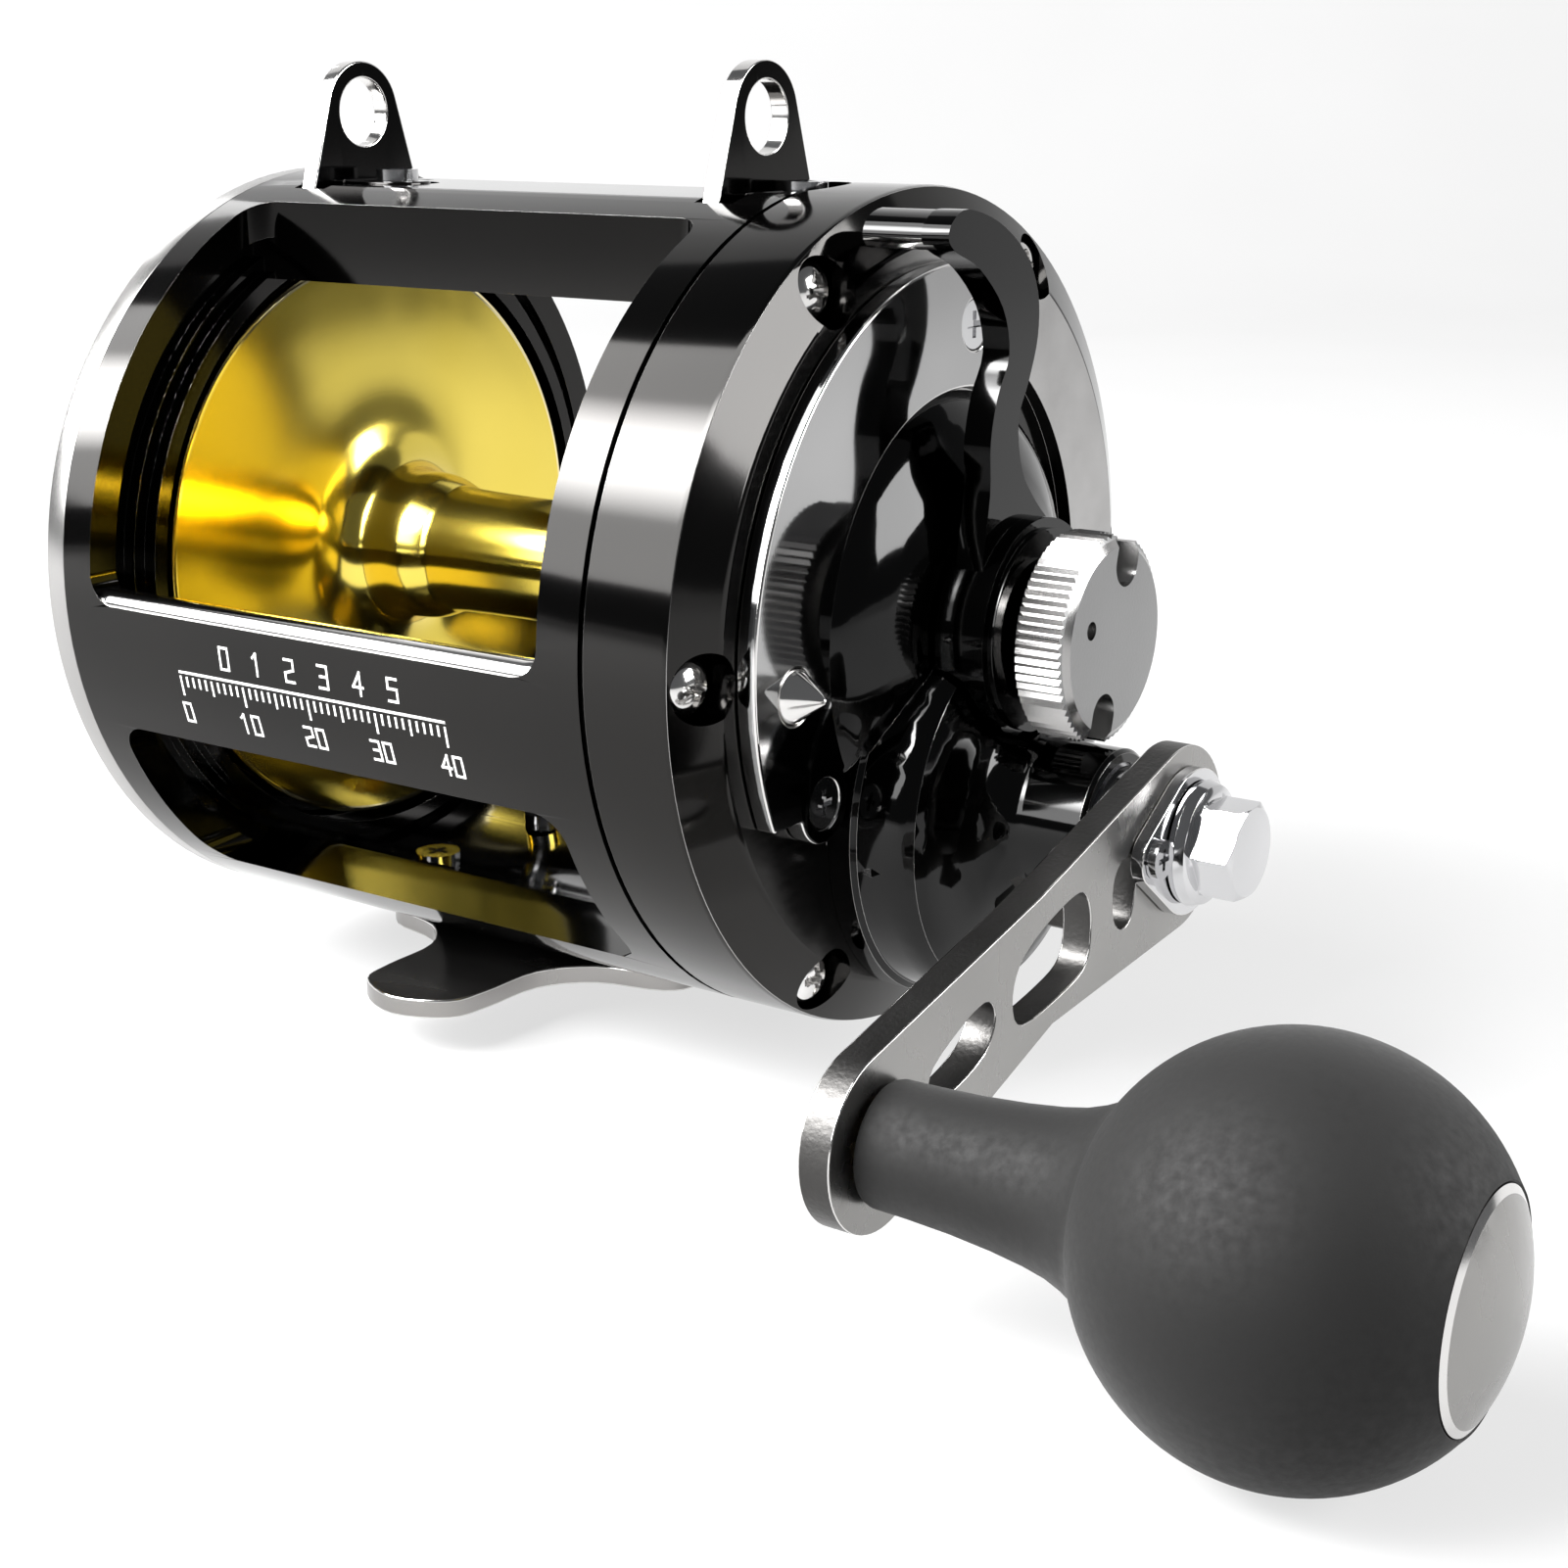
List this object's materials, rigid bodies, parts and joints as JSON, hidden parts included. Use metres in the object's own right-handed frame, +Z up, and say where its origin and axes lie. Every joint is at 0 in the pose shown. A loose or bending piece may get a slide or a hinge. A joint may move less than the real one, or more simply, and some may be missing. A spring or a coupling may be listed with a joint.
{
  "type": "trolling reel",
  "caption": "Lever drag trolling reel: open frame, wide spool, geared crank with a ball grip, drag lever, harness lugs and a foot for a rod seat.",
  "frame": {"origin": "centre of the underside of the reel foot, where it rests on the rod seat", "axes": "+X along the spool axis towards the handle, -Y towards the angler, +Y towards the rod tip, +Z up from the rod"},
  "size_m": [0.1669, 0.112, 0.101],
  "materials": {
    "black_metal": "polished black anodised aluminium",
    "bright_steel": "polished stainless steel",
    "plain_steel": "machined steel",
    "gold_metal": "polished gold anodised aluminium",
    "yellow_brass": "machined brass",
    "carbon_fibre": "woven carbon fibre",
    "black_plastic": "moulded plastic",
    "satin_silver": "satin anodised aluminium",
    "grip_rubber": "smooth matt hard rubber",
    "dark_chrome": "dark chrome plating"
  },
  "bodies": {
    "reel_body": {"frame": "black_metal", "left_side_plate": "black_metal", "left_plate_screws": "bright_steel", "left_bearing_cap": "black_metal", "shaft_bearing_left": "plain_steel", "clicker_spring": "plain_steel", "pinion_bearing": "plain_steel", "handle_side_plate": "black_metal", "side_plate_screws": "bright_steel", "quadrant_cover": "black_metal", "cover_screws": "bright_steel", "strike_stop_spring": "plain_steel", "drive_housing": "black_metal", "housing_screws": "bright_steel", "dog_springs": "plain_steel", "dog_posts": "plain_steel", "shaft_bearing_inner": "plain_steel", "shaft_bearing_outer": "plain_steel", "harness_lug_left": "bright_steel", "harness_lug_right": "bright_steel", "lug_screws": "bright_steel", "reel_foot": "dark_chrome", "foot_screws": "bright_steel"},
    "handle_crank": {"handle_shaft": "plain_steel", "main_gear": "yellow_brass", "ratchet_wheel": "plain_steel", "handle_bush": "bright_steel", "handle_arm": "satin_silver", "arm_lock_plate": "bright_steel", "lock_plate_screw": "bright_steel", "handle_nut": "bright_steel", "grip_spindle": "plain_steel"},
    "grip": {"handle_grip": "grip_rubber", "grip_bushes": "yellow_brass", "grip_end_cap": "satin_silver"},
    "pinion": {"pinion_gear": "plain_steel", "drive_plate": "plain_steel"},
    "drag_shaft": {"drag_shaft": "plain_steel", "thrust_ring": "bright_steel", "belleville_washers": "plain_steel"},
    "spool": {"spool": "gold_metal", "spool_bearing_left": "plain_steel", "spool_bearing_right": "plain_steel", "drag_washer": "carbon_fibre", "click_gear": "yellow_brass"},
    "preset_knob": {"preset_knob": "bright_steel"},
    "drag_lever": {"drag_lever": "black_metal"},
    "clicker": {"clicker_button": "black_plastic", "clicker_pawl": "plain_steel"},
    "strike_stop": {"strike_stop": "bright_steel"},
    "ratchet_dog_front": {"ratchet_dog_front": "plain_steel"},
    "ratchet_dog_rear": {"ratchet_dog_rear": "plain_steel"}
  },
  "joints": [
    {"name": "handle_turn", "type": "hinge", "parent": "reel_body", "child": "handle_crank", "pos_m": [0.03465, 0, 0.0244], "axis": [1, 0, 0], "continuous": true},
    {"name": "grip_spin", "type": "hinge", "parent": "handle_crank", "child": "grip", "pos_m": [0.03465, -0.0531, 0.0125], "axis": [1, 0, 0], "continuous": true},
    {"name": "pinion_spin", "type": "hinge", "parent": "reel_body", "child": "pinion", "pos_m": [0.03465, 0, 0.043], "axis": [1, 0, 0], "continuous": true},
    {"name": "drag_shaft_slide", "type": "slide", "parent": "reel_body", "child": "drag_shaft", "axis": [1, 0, 0], "range_m": [-0.000285, 0.00025]},
    {"name": "spool_spin", "type": "hinge", "parent": "drag_shaft", "child": "spool", "pos_m": [0.03465, 0, 0.043], "axis": [1, 0, 0], "continuous": true},
    {"name": "preset_turn", "type": "hinge", "parent": "drag_shaft", "child": "preset_knob", "pos_m": [0.03465, 0, 0.043], "axis": [1, 0, 0], "range_deg": [-180, 180]},
    {"name": "drag_lever_turn", "type": "hinge", "parent": "reel_body", "child": "drag_lever", "pos_m": [0.03465, 0, 0.043], "axis": [1, 0, 0], "range_deg": [-50, 57]},
    {"name": "clicker_slide", "type": "slide", "parent": "reel_body", "child": "clicker", "axis": [0, 0, 1], "range_m": [-0.0015, 0.0015]},
    {"name": "strike_stop_push", "type": "slide", "parent": "reel_body", "child": "strike_stop", "axis": [-1, 0, 0], "range_m": [0, 0.0015], "stiffness_N_per_m": 400, "deforming": ["strike_stop_spring"]},
    {"name": "dog_front_lift", "type": "hinge", "parent": "reel_body", "child": "ratchet_dog_front", "pos_m": [0.03465, -0.0116, 0.019], "axis": [1, 0, 0], "range_deg": [0, 12]},
    {"name": "dog_rear_lift", "type": "hinge", "parent": "reel_body", "child": "ratchet_dog_rear", "pos_m": [0.03465, 0.0116, 0.019], "axis": [1, 0, 0], "range_deg": [-12, 0]}
  ],
  "couplings": [
    {"joint": "pinion_spin", "follows": "handle_turn", "ratio": -3.7692},
    {"joint": "spool_spin", "follows": "handle_turn", "ratio": -3.7692},
    {"joint": "drag_lever_turn", "follows": "drag_shaft_slide", "rad_per_m": -3490}
  ]
}
